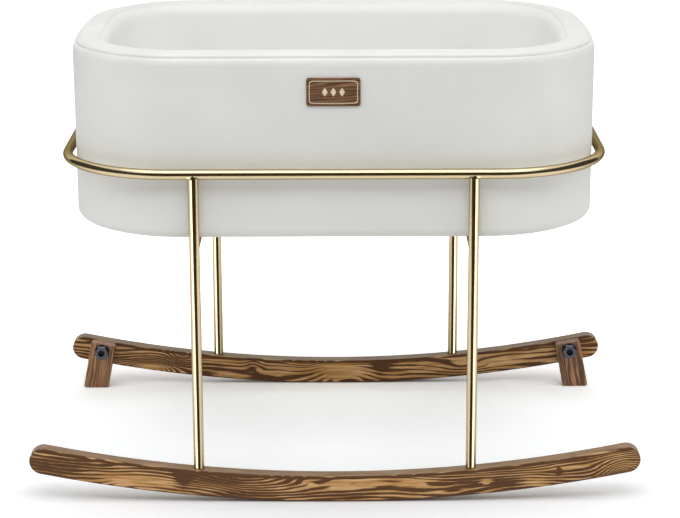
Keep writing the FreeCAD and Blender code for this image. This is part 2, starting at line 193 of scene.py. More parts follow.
def rounding(path):
    """How far the padding stands out: fullest at the ends' middle, least at the corners.

    Along an end it falls with the square of the distance from the middle; round a corner it dips with
    the square of the sine of twice the outward direction's angle.
    """
    along_end = np.abs(path["out_x"]) * (1 - (path["y"] / (half_depth - corner_radius)) ** 2)
    return end_bulge * along_end - corner_pull * (2 * path["out_x"] * path["out_y"]) ** 2


def padded_ring(path, face, lift, back):
    """A padded band: the face's section, lifted along its own slope, closed by the back's points.

    Lift has one value for each step of the path and of the face. A back point is its depth and height.
    The rounding is smaller near the hoop, by a bell curve of the height over it.
    """
    held = 1 - hoop_hold * np.exp(-((face["height"] - hoop_height) / hoop_reach) ** 2)
    bulge = rounding(path)[:, None] * held[None, :]
    depth = face["depth"][None, :] - lift * np.cos(face["tilt"])[None, :] - bulge
    height = face["height"][None, :] + lift * np.sin(face["tilt"])[None, :]
    back = np.array(back)
    steps = len(path["x"])
    depth = np.hstack([depth, np.tile(back[:, 0], (steps, 1))])
    height = np.hstack([height, np.tile(back[:, 1], (steps, 1))])
    return plan_points(path, depth, height)


def flat_plate(path, depth, bottom, top):
    """A thin closed sheet with the basket's plan, whose outline shrinks to the middle below and above."""
    share = np.concatenate([np.linspace(pole_share, 1, sheet_rows), np.linspace(1, pole_share, sheet_rows)])
    height = np.concatenate([np.full(sheet_rows, bottom), np.full(sheet_rows, top)])
    points = plan_points(path, np.full((len(path["x"]), 2 * sheet_rows), depth), height)
    points[:, :, :2] *= share[None, :, None]
    return points


def swept_tube(line, radius, sides):
    """A round bead along a closed line: circles square to the line's own direction."""
    ahead = np.roll(line, -1, axis=0) - np.roll(line, 1, axis=0)
    ahead /= np.linalg.norm(ahead, axis=1, keepdims=True)
    across = np.cross(ahead, [0, 0, 1])
    across /= np.linalg.norm(across, axis=1, keepdims=True)
    upward = np.cross(across, ahead)
    angle = np.linspace(0, 2 * math.pi, sides, endpoint=False)
    return (line[:, None, :] + radius * (np.cos(angle)[None, :, None] * across[:, None, :]
                                         + np.sin(angle)[None, :, None] * upward[:, None, :]))


def grid_piece(name, points, around_closed=True, section_closed=True, cap_ends=False, cap_poles=False):
    """A mesh object from a grid of points: neighbours along both directions join into four-sided faces.

    The UV map holds the distance along the middle of the grid in both directions, in metres.
    """
    steps, rows = points.shape[:2]
    around = np.arange(steps if around_closed else steps - 1)
    along = np.arange(rows if section_closed else rows - 1)
    i, j = np.meshgrid(around, along, indexing="ij")
    i_next, j_next = (i + 1) % steps, (j + 1) % rows
    quads = np.stack([i * rows + j, i_next * rows + j, i_next * rows + j_next, i * rows + j_next], axis=2)
    faces = quads.reshape(-1, 4).tolist()
    if cap_ends:
        faces.append(np.arange(rows).tolist())
        faces.append(np.arange(steps * rows - 1, (steps - 1) * rows - 1, -1).tolist())
    if cap_poles:
        first_row = np.arange(steps) * rows
        faces.append(first_row[::-1].tolist())
        faces.append((first_row + rows - 1).tolist())
    mesh = bpy.data.meshes.new(name)
    mesh.from_pydata(points.reshape(-1, 3), [], faces)
    step_line = points[:, rows // 3]
    step_length = np.linalg.norm(np.diff(step_line, axis=0, append=step_line[:1]), axis=1)
    row_length = np.linalg.norm(np.diff(points[0], axis=0, append=points[0, :1]), axis=1)
    u = np.concatenate([[0], np.cumsum(step_length)])
    v = np.concatenate([[0], np.cumsum(row_length)])
    corners = np.stack([np.stack([u[i], v[j]], 2), np.stack([u[i + 1], v[j]], 2),
                        np.stack([u[i + 1], v[j + 1]], 2), np.stack([u[i], v[j + 1]], 2)], axis=2)
    uv = np.zeros((len(mesh.loops), 2))
    uv[:corners.size // 2] = corners.reshape(-1, 2)
    mesh.uv_layers.new(name="sewn").data.foreach_set("uv", uv.ravel())
    mesh.polygons.foreach_set("use_smooth", np.ones(len(mesh.polygons), bool))
    mesh.validate()
    mesh.update()
    piece = bpy.data.objects.new(name, mesh)
    scene.collection.objects.link(piece)
    return piece


def make_wall_pad():
    """Outer wall: leatherette over foam, from under the bottom edge to the seam on the shoulder.

    The face sinks at the seam, waves in the middle of its height and gathers near the seam.
    """
    path = basket_path(around_count)
    face = wall_section([(panel_outer, basket_bottom + panel_outer, panel_outer, -90, 0),
                         (shoulder_radius, basket_top - shoulder_radius, shoulder_radius,
                          0, shoulder_seam_angle)], rows=80, fine_end=22)
    to_seam = face["total"] - face["walked"]
    lift = (seam_dip(to_seam)[None, :] + wall_wave(path, face, wall_waves, wall_ripple)
            + seam_gather(path, to_seam, seam_gathers))
    back_depth = panel_outer - skin_gap
    back = [(back_depth, panel_top + seam_tuck), (back_depth, panel_top),
            (back_depth, basket_bottom + panel_outer)]
    return grid_piece("wall_pad", padded_ring(path, face, lift, back))


def make_rim(name, start_share, end_share, roll):
    """Half of the top band: from the shoulder seam over the crowned top to the seam with the lining.

    The crown is half a sine wave across the band. Roll adds a whole wave, which moves padding to the
    inner side.
    """
    path = basket_path(around_count // 2 + 1, start_share, end_share, closed=False)
    face = wall_section([(shoulder_radius, basket_top - shoulder_radius, shoulder_radius,
                          shoulder_seam_angle, 90),
                         (rim_inner_depth, basket_top - rim_inner_radius, rim_inner_radius,
                          90, lining_seam_angle)], rows=40, fine_start=18, fine_end=18, fine_reach=10 * MM)
    from_seam = face["walked"]
    to_lining = face["total"] - face["walked"]
    to_cross = np.minimum(path["walked"] - path["walked"][0], path["walked"][-1] - path["walked"])
    across = from_seam / face["total"]
    crown = rim_crown * np.sin(math.pi * across) - roll * np.sin(2 * math.pi * across)
    lift = (seam_dip(from_seam)[None, :] + lining_seam_share * seam_dip(to_lining)[None, :]
            + cross_seam_share * seam_dip(to_cross)[:, None] + crown[None, :]
            + seam_gather(path, from_seam, seam_gathers))
    back = [(rim_inner_depth, panel_top + seam_tuck), (panel_outer, panel_top + seam_tuck)]
    return grid_piece(name, padded_ring(path, face, lift, back), around_closed=False, cap_ends=True)


def make_inner_pad():
    """Inner wall: lining over foam, from the seam on the rim's inner roll down to the floor board.

    The face sinks at the seam, waves in the middle of its height and gathers near the seam.
    """
    path = basket_path(around_count)
    face = wall_section([(rim_inner_depth, basket_top - rim_inner_radius, rim_inner_radius,
                          lining_seam_angle, 180),
                         (wall_thickness - wall_foot, board_top + 2 * wall_foot, wall_foot,
                          180, wall_foot_angle)], rows=70, fine_start=18)
    from_seam = face["walked"]
    lift = (lining_seam_share * seam_dip(from_seam)[None, :]
            + wall_wave(path, face, lining_waves, 2 * wall_ripple)
            + seam_gather(path, from_seam, lining_gathers))
    back_depth = panel_inner + skin_gap
    under_rim = panel_top + seam_tuck - skin_gap
    back = [(wall_thickness - 2 * wall_foot, board_top + skin_gap), (back_depth, board_top + skin_gap),
            (back_depth, panel_top), (back_depth, under_rim), (rim_inner_depth, under_rim)]
    return grid_piece("inner_pad", padded_ring(path, face, lift, back))


# Mattress

mattress_low, mattress_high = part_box("mattress")
mattress_inset = 5 * MM
mattress_draw = 3 * MM
mattress_edge = 14 * MM
mattress_crown = 10 * MM
edge_squareness = 0.8
edge_rows = 17
flat_rows = 24
flat_share = 0.97
mattress_steps = 240

# Its cover as cloth: grid size, pressure, number of time steps and how far a point may move
mattress_voxel = 6 * MM
puff_pressure = 4
puff_steps = 20
puff_limit = 9 * MM

# Beads sewn round its upper and lower edge
piping_radius = 2.2 * MM
piping_rise = 9 * MM
piping_steps = 400
piping_sides = 10


def mattress_form():
    """A closed pad: the basket's plan drawn in, with a rounded edge, a crowned top and sides that pull in.

    The edge's section is half of a rounded box; below and above it the outline shrinks to the middle,
    and the top rises with one minus the square of the distance from the middle.
    """
    path = basket_path(mattress_steps)
    thick = mattress_high.z - mattress_low.z - mattress_crown
    outer = half_length - mattress_high.x + mattress_inset
    straight = np.cos(2 * np.arctan2(path["out_y"], path["out_x"])) ** 2
    draw = mattress_draw * straight * np.abs(np.sin(4 * math.pi * path["share"])) ** 0.5
    angle = np.linspace(-math.pi / 2, math.pi / 2, edge_rows)
    box = 1 / np.maximum(np.abs(np.cos(angle)), np.abs(np.sin(angle))) ** edge_squareness
    edge_depth = outer + mattress_edge * (1 - np.cos(angle) * box)
    edge_height = mattress_low.z + thick * (0.5 + 0.5 * np.sin(angle) * box / box[-1])
    side = plan_points(path, edge_depth[None, :] + draw[:, None], edge_height)
    share = np.linspace(pole_share, flat_share, flat_rows)
    level = np.array([1, 1, 0])
    below = side[:, :1] * level * share[None, :, None] + np.array([0, 0, mattress_low.z])
    above = side[:, -1:] * level * share[None, ::-1, None]
    above[:, :, 2] = side[:, -1:, 2] + mattress_crown * (1 - share[::-1] ** 2)[None, :]
    return np.concatenate([below, side, above], axis=1)


def mesh_points(mesh):
    """The places of a mesh's points as an array with three columns."""
    places = np.empty(len(mesh.vertices) * 3, np.float32)
    mesh.vertices.foreach_get("co", places)
    return places.reshape(-1, 3)


def swell(piece):
    """Let the pad's cover puff up under pressure, keep each point near its start and the pad in its box."""
    cloth = piece.modifiers.new("puff", "CLOTH")
    cloth.settings.use_pressure = True
    cloth.settings.uniform_pressure_force = puff_pressure
    cloth.settings.effector_weights.gravity = 0
    start = mesh_points(piece.data)
    for step in range(1, puff_steps + 1):
        scene.frame_set(step)
    puffed = piece.evaluated_get(bpy.context.evaluated_depsgraph_get())
    shift = mesh_points(puffed.data) - start
    length = np.linalg.norm(shift, axis=1, keepdims=True)
    shift *= np.minimum(1, puff_limit / np.maximum(length, 1e-9))
    moved = start + shift
    moved[:, 2] = np.maximum(moved[:, 2], mattress_low.z)
    limit = np.array(mattress_high)
    moved = np.clip(moved, -limit, limit)
    piece.modifiers.remove(cloth)
    scene.frame_set(1)
    piece.data.vertices.foreach_set("co", moved.ravel())
    piece.data.update()


def make_mattress():
    """The pad of the mattress, puffed up as sewn fabric, with a beaded seam round both its edges.

    A bead follows the line where the pad's side is met on the way in from the basket's plan.
    """
    pad = grid_piece("mattress_pad", mattress_form(), section_closed=False, cap_poles=True)
    remesh = pad.modifiers.new("even", "REMESH")
    remesh.mode = "VOXEL"
    remesh.voxel_size = mattress_voxel
    even = bpy.data.meshes.new_from_object(pad.evaluated_get(bpy.context.evaluated_depsgraph_get()))
    pad.modifiers.remove(remesh)
    pad.data = even
    swell(pad)
    pad.data.polygons.foreach_set("use_smooth", np.ones(len(pad.data.polygons), bool))
    tree = BVHTree.FromPolygons(mesh_points(pad.data).tolist(),
                                [list(face.vertices) for face in pad.data.polygons])
    path = basket_path(piping_steps)
    beads = []
    for name, height in (("mattress_bead_low", mattress_low.z + piping_rise),
                         ("mattress_bead_top", mattress_high.z - mattress_crown - piping_rise)):
        line = []
        for x, y, out_x, out_y in zip(*(path[key] for key in ("x", "y", "out_x", "out_y"))):
            outside = Vector((x + corner_radius * out_x, y + corner_radius * out_y, height))
            line.append(tree.ray_cast(outside, Vector((-out_x, -out_y, 0)))[0])
        beads.append(grid_piece(name, swept_tube(np.array(line), piping_radius, piping_sides)))
    return pad, beads


# Plaque inlay

plaque_low, plaque_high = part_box("name_plaque")
plaque_middle = middle_of("name_plaque")
inlay_proud = 0.25 * MM
inlay_width = 1.1 * MM
inlay_inset = 4.5 * MM
border_power = 12
lozenge_power = 1.15
lozenge_places = (-13 * MM, 0.0, 13 * MM)
lozenge_size = (4.2 * MM, 6.5 * MM)

# A lozenge's rows from its foot to its top: share of its outline, and height in times the inlay's
lozenge_shares = (1.0, 1.0, 0.96, 0.8, 0.4, 0.02)
lozenge_heights = (-1.0, 0.5, 0.9, 1.05, 1.15, 1.2)


def superellipse(count, power):
    """A closed outline with |x| to the power plus |z| to the power equal to one, from angle to angle."""
    angle = np.linspace(0, 2 * math.pi, count, endpoint=False)
    reach = (np.abs(np.cos(angle)) ** power + np.abs(np.sin(angle)) ** power) ** (-1 / power)
    return np.cos(angle) * reach, np.sin(angle) * reach


def make_inlay_border():
    """Thin pale line round the plaque: a superellipse, widened on both sides and lifted off the face."""
    outline_x, outline_z = superellipse(count=240, power=border_power)
    half_width = (plaque_high.x - plaque_low.x) / 2 - inlay_inset
    half_height = (plaque_high.z - plaque_low.z) / 2 - inlay_inset
    grow = np.array([-1, -1, 1, 1]) * inlay_width / 2
    proud = np.array([-1, 1, 1, -1]) * inlay_proud
    x = plaque_middle.x + (half_width + grow)[None, :] * outline_x[:, None]
    z = plaque_middle.z + (half_height + grow)[None, :] * outline_z[:, None]
    y = np.tile(plaque_low.y - proud, (len(outline_x), 1))
    return grid_piece("plaque_border", np.stack([x, y, z], axis=2))


def make_lozenge(number, place):
    """A small raised lozenge: a superellipse of a power near one, which shrinks to a rounded top in rows."""
    outline_x, outline_z = superellipse(count=64, power=lozenge_power)
    x = plaque_middle.x + place + lozenge_size[0] * np.outer(outline_x, lozenge_shares)
    z = plaque_middle.z + lozenge_size[1] * np.outer(outline_z, lozenge_shares)
    y = np.tile(plaque_low.y - inlay_proud * np.array(lozenge_heights), (len(outline_x), 1))
    return grid_piece("plaque_lozenge_%d" % number, np.stack([x, y, z], axis=2),
                      section_closed=False, cap_poles=True)


# Finishes

def colour(text):
    """Linear colour of an sRGB hex value."""
    values = np.array([int(text[place:place + 2], 16) for place in (1, 3, 5)]) / 255
    linear = np.where(values <= 0.04045, values / 12.92, ((values + 0.055) / 1.055) ** 2.4)
    return (*linear.tolist(), 1.0)


def add(tree, kind, inputs=None, stops=None, **settings):
    """Add a node and give its output, or all of them where several are in use.

    Settings are the node's own properties, and inputs are values or other nodes' sockets. Stops fill
    the ramp of a node that has one: each is a place and a colour.
    """
    made = tree.nodes.new(kind)
    for key, value in settings.items():
        setattr(made, key, value)
    for key, value in (inputs or {}).items():
        if isinstance(value, bpy.types.NodeSocket):
            tree.links.new(value, made.inputs[key])
        else:
            made.inputs[key].default_value = value
    if stops:
        ramp = made.color_ramp
        while len(ramp.elements) < len(stops):
            ramp.elements.new(0.5)
        for element, (place, shade) in zip(ramp.elements, stops):
            element.position = place
            element.color = shade
    in_use = [socket for socket in made.outputs if socket.enabled]
    return in_use[0] if len(in_use) == 1 else made.outputs


def new_finish(name, **values):
    """A material with one Principled shader, and the shader's plain values."""
    material = bpy.data.materials.new(name)
    material.use_nodes = True
    tree = material.node_tree
    shader = tree.nodes["Principled BSDF"]
    for key, value in values.items():
        shader.inputs[key.replace("_", " ")].default_value = value
    return material, tree, shader


def champagne_brass():
    """Brass-plated steel tube, polished: pale gold, with fine drawing marks that blur its reflections."""
    material, tree, shader = new_finish("champagne_brass", Metallic=1.0, Base_Color=colour("#DAC8A2"),
                                        Specular_Tint=colour("#8E8672"))
    place = add(tree, "ShaderNodeTexCoord")["Object"]
    marks = add(tree, "ShaderNodeTexNoise", {"Vector": place, "Scale": 1 / (1.5 * MM), "Detail": 3.0})
    rough = add(tree, "ShaderNodeMapRange", {"Value": marks["Fac"], "To Min": 0.11, "To Max": 0.2})
    tree.links.new(rough, shader.inputs["Roughness"])
    return material


def clouded(tree, shader, place, spot, detail, stops):
    """Colour a shader in clouds, whose spots have a real size, and give the clouds."""
    cloud = add(tree, "ShaderNodeTexNoise", {"Vector": place, "Scale": 1 / spot, "Detail": detail})["Fac"]
    tint = add(tree, "ShaderNodeValToRGB", {"Fac": cloud}, stops=[(at, colour(text)) for at, text in stops])
    tree.links.new(tint["Color"], shader.inputs["Base Color"])
    return cloud


def bare_steel(name, shade, low_rough, high_rough, speck):
    """Turned steel with a thin coating: zinc is pale and cloudy, blackening has lighter rubbed spots."""
    material, tree, shader = new_finish(name, Metallic=0.9)
    place = add(tree, "ShaderNodeTexCoord")["Object"]
    cloud = clouded(tree, shader, place, speck, detail=4.0, stops=[(0.35, shade[0]), (0.7, shade[1])])
    rough = add(tree, "ShaderNodeMapRange", {"Value": cloud, "To Min": low_rough, "To Max": high_rough})
    tree.links.new(rough, shader.inputs["Roughness"])
    return material


# The pith's place beside and under the wood that was cut from the log, and how dark a face brushed flat is
pith = (62 * MM, -60 * MM)
brushed_dark = 0.62


def stained_softwood(name, origin, ring_width, pale, seed, stain, turn=0.0, bow=0.0, swirls=(), patches=(),
                     underside=0.0, dark_edge_lines=(), brushed_and_sheen_share=0.0, sheen_tint=(1, 1, 1, 1)):
    """Brushed softwood, dark stained, satin lacquer: honey and dark bands in waves, arches and eyes.

    The bands are growth rings: the distance from the pith, a line along the grain, is bent by three
    cloudy patterns and by swirls, smooth humps where a branch passed, and cut into rings. Turn lays the
    grain along the piece, and bow bends it partly with the rocker. Pale is the mean share of a ring
    before its dark part. A swirl is its place along and up, its reach both ways and its rise. A patch
    has the same form and makes the bands there paler, or darker below zero. Underside is the curve of
    the rocker's underside, and the dark edge lines are heights over it where the sides are darker: the
    lowest is painted shade at the floor. Its other faces are brushed flat by a share, and a tint paints a
    sheen on them.
    """
    material, tree, shader = new_finish(name, Roughness=0.46, Specular_IOR_Level=0.3)
    place = add(tree, "ShaderNodeTexCoord")
    local = add(tree, "ShaderNodeMapping", vector_type="TEXTURE", inputs={
        "Vector": place["Object"], "Location": origin, "Rotation": (0, turn, 0)})
    axis = add(tree, "ShaderNodeSeparateXYZ", {"Vector": local})
    square = add(tree, "ShaderNodeMath", {0: axis["X"], 1: axis["X"]}, operation="MULTIPLY")
    height = add(tree, "ShaderNodeMath", {0: square, 1: -bow, 2: axis["Z"]}, operation="MULTIPLY_ADD")
    grain = add(tree, "ShaderNodeCombineXYZ", {"X": axis["X"], "Y": axis["Y"], "Z": height})

    def drawn_out(length, width, shift, detail):
        """A cloudy pattern drawn out along the grain: its spots have a length and a width."""
        stretched = add(tree, "ShaderNodeVectorMath", {0: grain, 1: (1 / length, 1 / width, 1 / width)},
                        operation="MULTIPLY")
        return add(tree, "ShaderNodeTexNoise", {"Vector": stretched, "W": seed + shift, "Scale": 1.0,
                                               "Detail": detail}, noise_dimensions="4D")["Fac"]

    def humps(value, places):
        """Add smooth humps to a value: each is its rise times a bell curve of the distance in reaches."""
        for along, up, reach_along, reach_up, rise in places:
            away = add(tree, "ShaderNodeVectorMath", {0: grain, 1: (along, 0, up)}, operation="SUBTRACT")
            away = add(tree, "ShaderNodeVectorMath", {0: away, 1: (1 / reach_along, 0, 1 / reach_up)},
                       operation="MULTIPLY")
            away = add(tree, "ShaderNodeVectorMath", {0: away, 1: away}, operation="DOT_PRODUCT")
            hump = add(tree, "ShaderNodeMath", {0: 1 / math.e, 1: away}, operation="POWER")
            value = add(tree, "ShaderNodeMath", {0: hump, 1: rise, 2: value}, operation="MULTIPLY_ADD")
        return value

    # Rings
    off_pith = add(tree, "ShaderNodeVectorMath", {0: grain, 1: (0, *pith)}, operation="SUBTRACT")
    across = add(tree, "ShaderNodeVectorMath", {0: off_pith, 1: (0, 1, 1)}, operation="MULTIPLY")
    bent = add(tree, "ShaderNodeVectorMath", {0: across}, operation="LENGTH")
    fibre = drawn_out(length=16 * MM, width=0.9 * MM, shift=9.0, detail=2.0)
    slow_wave = drawn_out(length=230 * MM, width=34 * MM, shift=0.0, detail=0.0)
    quick_wave = drawn_out(length=55 * MM, width=11 * MM, shift=5.0, detail=1.0)
    for wave, swing in ((slow_wave, 34 * MM), (quick_wave, 6 * MM), (fibre, 1.4 * MM)):
        bent = add(tree, "ShaderNodeMath", {0: wave, 1: swing, 2: bent}, operation="MULTIPLY_ADD")
    bent = humps(bent, swirls)
    count = add(tree, "ShaderNodeMath", {0: bent, 1: 1 / ring_width}, operation="MULTIPLY")
    phase = add(tree, "ShaderNodeMath", {0: count}, operation="FRACT")

    # Share of each ring that is pale, with less of it along dark lines on the sides; the lowest is painted
    # shade at the floor
    drift = drawn_out(length=120 * MM, width=16 * MM, shift=13.0, detail=1.0)
    share = add(tree, "ShaderNodeMapRange", {"Value": drift, "From Min": 0.35, "From Max": 0.65,
                                            "To Min": pale - 0.50, "To Max": pale})
    share = add(tree, "ShaderNodeMath", {0: fibre, 1: 0.5, 2: share}, operation="MULTIPLY_ADD")
    share = humps(share, patches)
    level = add(tree, "ShaderNodeMath", {0: square, 1: -underside, 2: axis["Z"]}, operation="MULTIPLY_ADD")
    facing = add(tree, "ShaderNodeSeparateXYZ", {"Vector": place["Normal"]})["Y"]
    facing = add(tree, "ShaderNodeMath", {0: facing}, operation="ABSOLUTE")
    side = add(tree, "ShaderNodeMapRange", {"Value": facing, "From Min": 0.1, "From Max": 0.5})
    for line in dark_edge_lines:
        away = add(tree, "ShaderNodeMath", {0: level, 1: line}, operation="SUBTRACT")
        away = add(tree, "ShaderNodeMath", {0: away}, operation="ABSOLUTE")
        line_darkening = add(tree, "ShaderNodeMapRange", {"Value": away, "From Min": 1.0 * MM, "From Max": 2.6 * MM,
                                                   "To Min": -0.5, "To Max": 0.0})
        share = add(tree, "ShaderNodeMath", {0: line_darkening, 1: side, 2: share}, operation="MULTIPLY_ADD")

    # Late wood: it comes in slowly after the pale part and ends sharply with the ring
    past = add(tree, "ShaderNodeMath", {0: phase, 1: share}, operation="SUBTRACT")
    rises = add(tree, "ShaderNodeMapRange", {"Value": past, "From Min": -0.12, "From Max": 0.06},
                interpolation_type="SMOOTHSTEP")
    falls = add(tree, "ShaderNodeMapRange", {"Value": phase, "From Min": 0.9, "From Max": 1.0, "To Min": 1.0,
                                            "To Max": 0.0})
    falls = add(tree, "ShaderNodeMath", {0: falls, 1: past}, operation="MAXIMUM")
    late = add(tree, "ShaderNodeMath", {0: rises, 1: falls}, operation="MULTIPLY", use_clamp=True)
    # Faces other than the sides are brushed to one tone here, and take the painted sheen tint below
    brushed_and_sheen = add(tree, "ShaderNodeMapRange", {"Value": side, "From Min": 1.0, "From Max": 0.0,
                                              "To Max": brushed_and_sheen_share})
    late = add(tree, "ShaderNodeMix", {0: brushed_and_sheen, 2: late, 3: brushed_dark}, data_type="FLOAT")

    # Colours: stain is two pale and two dark shades
    glow = drawn_out(length=60 * MM, width=5 * MM, shift=17.0, detail=2.0)
    glow = add(tree, "ShaderNodeMapRange", {"Value": glow, "From Min": 0.36, "From Max": 0.64})
    shades = [colour(text) for text in stain]
    warm = add(tree, "ShaderNodeMix", {0: glow, 6: shades[0], 7: shades[1]}, data_type="RGBA")
    dark = add(tree, "ShaderNodeMix", {0: fibre, 6: shades[2], 7: shades[3]}, data_type="RGBA")
    bands = add(tree, "ShaderNodeMix", {0: late, 6: warm, 7: dark}, data_type="RGBA")
    # Painted sheen: the tint greys these faces as if they mirrored the bright room
    bands = add(tree, "ShaderNodeMix", {0: brushed_and_sheen, 6: bands, 7: sheen_tint}, data_type="RGBA",
                blend_type="MULTIPLY")
    streak = drawn_out(length=45 * MM, width=1.6 * MM, shift=21.0, detail=3.0)
    shade = add(tree, "ShaderNodeMapRange", {"Value": streak, "From Min": 0.34, "From Max": 0.66,
                                            "To Min": 0.78, "To Max": 1.2})
    tinted = add(tree, "ShaderNodeMix", {0: 1.0, 6: bands, 7: shade}, data_type="RGBA",
                 blend_type="MULTIPLY")
    tree.links.new(tinted, shader.inputs["Base Color"])

    # Relief: brushing leaves the hard late wood standing
    relief = add(tree, "ShaderNodeMath", {0: late, 1: streak}, operation="ADD")
    bump = add(tree, "ShaderNodeBump", {"Height": relief, "Strength": 0.3, "Distance": 0.4 * MM})
    tree.links.new(bump, shader.inputs["Normal"])
    return material


def white_leatherette(name, shade):
    """Coated fabric with a soft satin face: a fine pebble grain, drawn at 2 mm so that it still shows."""
    material, tree, shader = new_finish(name, Roughness=0.48, Specular_IOR_Level=0.4)
    place = add(tree, "ShaderNodeTexCoord")["Object"]
    clouded(tree, shader, place, spot=120 * MM, detail=2.0, stops=[(0.3, shade[0]), (0.7, shade[1])])
    pebble = add(tree, "ShaderNodeTexVoronoi", {"Vector": place, "Scale": 1 / (2 * MM)}, feature="SMOOTH_F1")
    bump = add(tree, "ShaderNodeBump", {"Height": pebble["Distance"], "Strength": 0.12,
                                        "Distance": 0.3 * MM})
    tree.links.new(bump, shader.inputs["Normal"])
    return material


def wave_scale(length):
    """Scale of a wave texture whose bands repeat after a length: the texture counts 20 radians to a unit."""
    return 2 * math.pi / (20 * length)


def woven_cloth(name, shade, thread, sheen):
    """Plain woven cotton: threads cross over and under, drawn a little coarser than real so they show."""
    material, tree, shader = new_finish(name, Roughness=0.85, Specular_IOR_Level=0.2, Sheen_Weight=sheen)
    place = add(tree, "ShaderNodeUVMap", uv_map="sewn")
    waves = [add(tree, "ShaderNodeTexWave", {"Vector": place, "Scale": wave_scale(thread)},
                 bands_direction=direction)["Fac"] for direction in ("X", "Y")]
    weave = add(tree, "ShaderNodeMath", {0: waves[0], 1: waves[1]}, operation="MULTIPLY")
    tint = add(tree, "ShaderNodeValToRGB", {"Fac": weave},
               stops=[(0.0, colour(shade[0])), (1.0, colour(shade[1]))])
    bump = add(tree, "ShaderNodeBump", {"Height": weave, "Strength": 0.25, "Distance": 0.3 * MM})
    tree.links.new(tint["Color"], shader.inputs["Base Color"])
    tree.links.new(bump, shader.inputs["Normal"])
    return material


def knitted_cotton():
    """Mattress cover of fine cotton jersey: soft, matt, with rows of small stitches drawn 3 mm apart."""
    material, tree, shader = new_finish("knitted_cotton", Roughness=0.9, Specular_IOR_Level=0.2,
                                        Sheen_Weight=0.3)
    place = add(tree, "ShaderNodeTexCoord")["Object"]
    rows = add(tree, "ShaderNodeTexWave", bands_direction="X", inputs={
        "Vector": place, "Scale": wave_scale(3 * MM), "Distortion": 1.5,
        "Detail Scale": 1 / (4 * MM)})["Fac"]
    tint = add(tree, "ShaderNodeValToRGB", {"Fac": rows},
               stops=[(0.0, colour("#E5E4E0")), (1.0, colour("#EFEEEA"))])
    bump = add(tree, "ShaderNodeBump", {"Height": rows, "Strength": 0.3, "Distance": 0.4 * MM})
    tree.links.new(tint["Color"], shader.inputs["Base Color"])
    tree.links.new(bump, shader.inputs["Normal"])
    return material


def birch_plywood():
    """Raw plywood: pale layers that repeat every 3 mm, darker lines between them and faint long fibres."""
    material, tree, shader = new_finish("birch_plywood", Roughness=0.7)
    place = add(tree, "ShaderNodeTexCoord")["Object"]
    layers = add(tree, "ShaderNodeTexWave", {"Vector": place, "Scale": wave_scale(3 * MM)},
                 bands_direction="Z")
    stretched = add(tree, "ShaderNodeVectorMath", {0: place, 1: (1 / (80 * MM), 1 / (2 * MM), 1 / (2 * MM))},
                    operation="MULTIPLY")
    fibre = add(tree, "ShaderNodeTexNoise", {"Vector": stretched, "Scale": 1.0, "Detail": 2.0})
    mixed = add(tree, "ShaderNodeMath", {0: layers["Fac"], 1: fibre["Fac"]}, operation="MULTIPLY")
    tint = add(tree, "ShaderNodeValToRGB", {"Fac": mixed},
               stops=[(0.1, colour("#B79467")), (0.6, colour("#DCC096"))])
    tree.links.new(tint["Color"], shader.inputs["Base Color"])
    return material


def cream_inlay():
    """Pale filler rubbed into the plaque: matt cream with a slightly uneven tone."""
    material, tree, shader = new_finish("cream_inlay", Roughness=0.6)
    place = add(tree, "ShaderNodeTexCoord")["Object"]
    clouded(tree, shader, place, spot=1.2 * MM, detail=2.0, stops=[(0.3, "#D8C19E"), (0.7, "#F0E2C8")])
    return material


# Dress the model's own pieces

brass = champagne_brass()
zinc = bare_steel("zinc_plated_steel", ("#9A9DA2", "#B9BCC0"), 0.3, 0.5, 3 * MM)
black = bare_steel("blackened_steel", ("#1D1F23", "#34373C"), 0.4, 0.6, 2 * MM)
gunmetal = bare_steel("gunmetal_steel", ("#434851", "#747A85"), 0.25, 0.45, 2 * MM)
plywood = birch_plywood()

rocker_stain = ("#DBAE7A", "#B98747", "#6A4522", "#4A2C14")
block_stain = ("#BD9068", "#9C7150", "#785741", "#5C422F")
plaque_stain = ("#8C6849", "#7C5A3E", "#6C4C34", "#5A3D29")

# The rockers' curve: height over the floor is this times the square of the distance from the middle
rocker_curve = 0.2193
# The dark edge line at 0.4 mm is painted shade where the rockers meet the floor
rocker_shape = {"bow": 0.11, "underside": rocker_curve, "dark_edge_lines": (0.4 * MM, 39.4 * MM),
                "brushed_and_sheen_share": 0.9}

# Swirls and patches of the rockers: place along and up, reach along and up, and rise
front_swirls = ((-0.140, 0.066, 0.065, 0.040, 0.024), (0.455, 0.018, 0.034, 0.024, -0.034),
                (0.160, 0.020, 0.090, 0.020, 0.006))
front_patches = ((-0.305, 0.024, 0.060, 0.012, 1.0), (-0.430, 0.046, 0.050, 0.024, -0.24),
                 (-0.240, 0.034, 0.012, 0.014, -0.9), (-0.040, 0.031, 0.010, 0.006, 0.8),
                 (0.006, 0.031, 0.018, 0.006, 1.0), (0.055, 0.030, 0.020, 0.007, 1.0),
                 (0.125, 0.030, 0.032, 0.007, 0.9), (0.250, 0.026, 0.045, 0.008, -0.5),
                 (0.238, 0.026, 0.009, 0.004, 2.0), (0.315, 0.020, 0.025, 0.008, 0.6),
                 (0.352, 0.036, 0.004, 0.004, -2.0), (0.410, 0.040, 0.060, 0.020, 0.25))
rear_swirls = ((-0.335, 0.012, 0.036, 0.022, -0.030), (-0.280, 0.050, 0.024, 0.020, 0.022),
               (-0.150, 0.034, 0.016, 0.012, -0.009), (-0.052, 0.050, 0.034, 0.020, 0.018),
               (0.020, 0.006, 0.050, 0.024, -0.018), (0.230, 0.020, 0.040, 0.020, 0.010))
